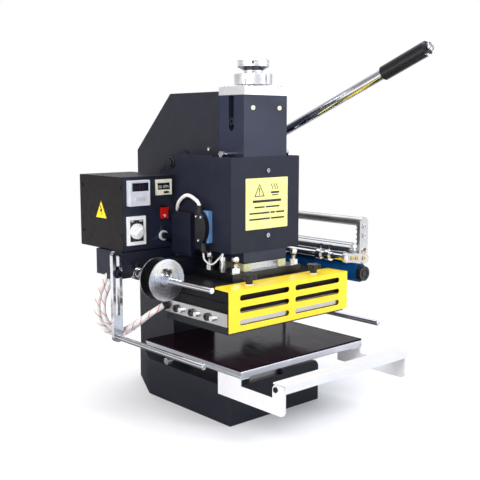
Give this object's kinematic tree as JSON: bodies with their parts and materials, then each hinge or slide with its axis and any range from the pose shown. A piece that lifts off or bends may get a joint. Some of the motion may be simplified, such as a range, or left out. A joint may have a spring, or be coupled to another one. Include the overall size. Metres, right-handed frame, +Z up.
{
  "type": "hot foil stamper",
  "caption": "Bench hot foil stamping press with a lever toggle, heated head behind a guard, sliding table, foil unwind and feed rollers and a side control box.",
  "frame": {"origin": "on the bench under the ram's axis, on the underside of the base's front cross web", "axes": "+Z up, +Y from the operator to the back of the machine, +X to the operator's right"},
  "size_m": [0.5237, 0.6729, 0.7351],
  "materials": {
    "black_paint": "fine textured satin black enamel",
    "panel_paint": "satin blue-black paint",
    "guard_paint": "glossy safety yellow powder coat",
    "machined_steel": "ground steel, lightly oiled",
    "dark_steel": "blackened steel",
    "bright_zinc": "bright zinc plate",
    "chrome_plate": "polished chrome",
    "turned_aluminium": "turned aluminium",
    "milled_aluminium": "milled aluminium",
    "bronze": "sintered bronze",
    "black_plastic": "moulded black plastic",
    "grip_plastic": "dipped black vinyl",
    "insulating_board": "pressed glass-fibre insulating board",
    "heater_insulation": "mineral insulating board behind sheet",
    "table_laminate": "hard dark laminate",
    "woven_sleeve": "woven glass sleeve with a red tracer",
    "white_pvc": "white cable jacket",
    "blue_rubber": "ground blue rubber",
    "silver_plastic": "silver grey moulded bezel",
    "cream_plastic": "cream moulded bezel",
    "white_plastic": "white moulded bezel",
    "dial_silver": "spun aluminium dial",
    "red_plastic": "translucent red plastic",
    "blue_plastic": "moulded blue plastic"
  },
  "bodies": {
    "frame": {"base_casting": "black_paint", "body_housing": "black_paint", "shaft_bushes": "bronze", "guide_column": "machined_steel", "top_plate": "milled_aluminium", "head_cover": "black_paint", "head_side_plates": "black_paint", "frame_screws": "bright_zinc", "slide_rail": "machined_steel", "unwind_housing": "black_paint", "feed_arms": "black_paint", "feed_frame": "machined_steel", "feed_motor": "black_paint", "pinch_springs": "dark_steel", "control_box": "black_paint", "control_panel": "panel_paint", "temperature_controller": "silver_plastic", "counter_body": "cream_plastic", "timer_body": "white_plastic", "rocker_switch": "black_plastic", "connector": "blue_plastic", "connector_cable": "white_pvc"},
    "adjuster": {"adjusting_block": "machined_steel", "return_springs": "dark_steel"},
    "knob": {"adjusting_knob": "turned_aluminium"},
    "collar": {"lock_collar": "turned_aluminium"},
    "lever": {"crank_shaft": "machined_steel", "lever_arm": "chrome_plate", "lever_grip": "grip_plastic"},
    "rod": {"connecting_rod": "machined_steel"},
    "upper_link": {"upper_toggle_link": "machined_steel"},
    "lower_link": {"lower_toggle_link": "machined_steel"},
    "head": {"ram": "machined_steel", "insulating_spacers": "insulating_board", "press_plate": "machined_steel", "levelling_screws": "bright_zinc", "heater_block": "heater_insulation", "chase_plate": "milled_aluminium", "heater_rods": "dark_steel", "die_plate": "machined_steel", "hand_guard": "guard_paint", "heater_cable": "woven_sleeve"},
    "left_guard_knob": {"guard_knob_left": "black_plastic"},
    "right_guard_knob": {"guard_knob_right": "black_plastic"},
    "table": {"table_plate": "milled_aluminium", "table_sheet": "table_laminate", "table_carriage": "machined_steel", "pull_frame": "milled_aluminium"},
    "table_lock": {"table_lock_screw": "bright_zinc"},
    "left_bar": {"guide_bar_left": "chrome_plate"},
    "right_bar": {"guide_bar_right": "chrome_plate"},
    "reel": {"reel_shaft": "chrome_plate", "reel_discs": "milled_aluminium"},
    "drive_roller": {"feed_roller": "blue_rubber"},
    "pinch_carrier": {"pinch_blocks": "bronze"},
    "pinch_roll": {"pinch_roller": "chrome_plate"},
    "rewind": {"rewind_rod": "chrome_plate"},
    "rocker_key": {"rocker": "red_plastic"},
    "dial": {"timer_dial": "dial_silver"},
    "reset": {"counter_reset_button": "black_plastic"}
  },
  "joints": [
    {"name": "lever_pull", "type": "hinge", "parent": "frame", "child": "lever", "pos_m": [0, 0.152, 0.509], "axis": [1, 0, 0], "range_deg": [0, 50]},
    {"name": "height_adjust", "type": "slide", "parent": "frame", "child": "adjuster", "axis": [0, 0, 1], "range_m": [-0.004, 0]},
    {"name": "knob_turn", "type": "hinge", "parent": "adjuster", "child": "knob", "pos_m": [0, 0, 0.7], "axis": [0, 0, 1], "range_deg": [-721, 1]},
    {"name": "collar_turn", "type": "hinge", "parent": "adjuster", "child": "collar", "pos_m": [0, 0, 0.674], "axis": [0, 0, 1], "range_deg": [-180, 180]},
    {"name": "ram_stroke", "type": "slide", "parent": "adjuster", "child": "head", "axis": [0, 0, -1], "range_m": [0, 0.04523], "deforming": ["return_springs"]},
    {"name": "upper_link_turn", "type": "hinge", "parent": "adjuster", "child": "upper_link", "pos_m": [0, 0, 0.5935], "axis": [1, 0, 0], "range_deg": [-18.4, 0]},
    {"name": "lower_link_turn", "type": "hinge", "parent": "head", "child": "lower_link", "pos_m": [0, 0, 0.47623], "axis": [1, 0, 0], "range_deg": [0, 18.4]},
    {"name": "rod_turn", "type": "hinge", "parent": "lever", "child": "rod", "pos_m": [0, 0.16493, 0.53673], "axis": [1, 0, 0], "range_deg": [-34.71, 0]},
    {"name": "left_guard_knob_turn", "type": "hinge", "parent": "head", "child": "left_guard_knob", "pos_m": [-0.09, -0.088, 0.29], "axis": [0, 0, 1], "range_deg": [0, 720]},
    {"name": "right_guard_knob_turn", "type": "hinge", "parent": "head", "child": "right_guard_knob", "pos_m": [0.09, -0.088, 0.29], "axis": [0, 0, 1], "range_deg": [0, 720]},
    {"name": "table_slide", "type": "slide", "parent": "frame", "child": "table", "axis": [0, -1, 0], "range_m": [0, 0.11]},
    {"name": "table_lock_turn", "type": "hinge", "parent": "table", "child": "table_lock", "pos_m": [-0.17, 0.071, 0.1106], "axis": [1, 0, 0], "range_deg": [0, 360]},
    {"name": "left_bar_height", "type": "slide", "parent": "frame", "child": "left_bar", "axis": [0, 0, 1], "range_m": [-0.02, 0.06]},
    {"name": "right_bar_height", "type": "slide", "parent": "frame", "child": "right_bar", "axis": [0, 0, 1], "range_m": [-0.02, 0.06]},
    {"name": "reel_spin", "type": "hinge", "parent": "frame", "child": "reel", "pos_m": [-0.2, 0, 0.2875], "axis": [0, 1, 0], "continuous": true},
    {"name": "feed_spin", "type": "hinge", "parent": "frame", "child": "drive_roller", "pos_m": [0.226, 0, 0.268], "axis": [0, 1, 0], "continuous": true},
    {"name": "pinch_lift", "type": "slide", "parent": "frame", "child": "pinch_carrier", "axis": [0, 0, 1], "range_m": [0, 0.004], "deforming": ["pinch_springs"]},
    {"name": "pinch_spin", "type": "hinge", "parent": "pinch_carrier", "child": "pinch_roll", "pos_m": [0.226, 0, 0.3102], "axis": [0, 1, 0], "continuous": true},
    {"name": "rewind_spin", "type": "hinge", "parent": "frame", "child": "rewind", "pos_m": [0.165, 0, 0.309], "axis": [0, 1, 0], "continuous": true},
    {"name": "rocker_tilt", "type": "hinge", "parent": "frame", "child": "rocker_key", "pos_m": [-0.12325, 0.143, 0.406], "axis": [1, 0, 0], "range_deg": [-16, 0]},
    {"name": "dial_turn", "type": "hinge", "parent": "frame", "child": "dial", "pos_m": [-0.194, 0.135, 0.3725], "axis": [0, 1, 0], "range_deg": [-150, 150]},
    {"name": "reset_press", "type": "slide", "parent": "frame", "child": "reset", "axis": [0, 1, 0], "range_m": [0, 0.002]}
  ],
  "couplings": [
    {"joint": "knob_turn", "follows": "height_adjust", "rad_per_m": 3141.6},
    {"joint": "ram_stroke", "follows": "lever_pull", "m_per_rad": 0.051261},
    {"joint": "upper_link_turn", "follows": "lever_pull", "ratio": -0.364},
    {"joint": "lower_link_turn", "follows": "lever_pull", "ratio": 0.364},
    {"joint": "rod_turn", "follows": "lever_pull", "ratio": -0.69014},
    {"joint": "pinch_spin", "follows": "feed_spin", "ratio": -0.90909}
  ]
}
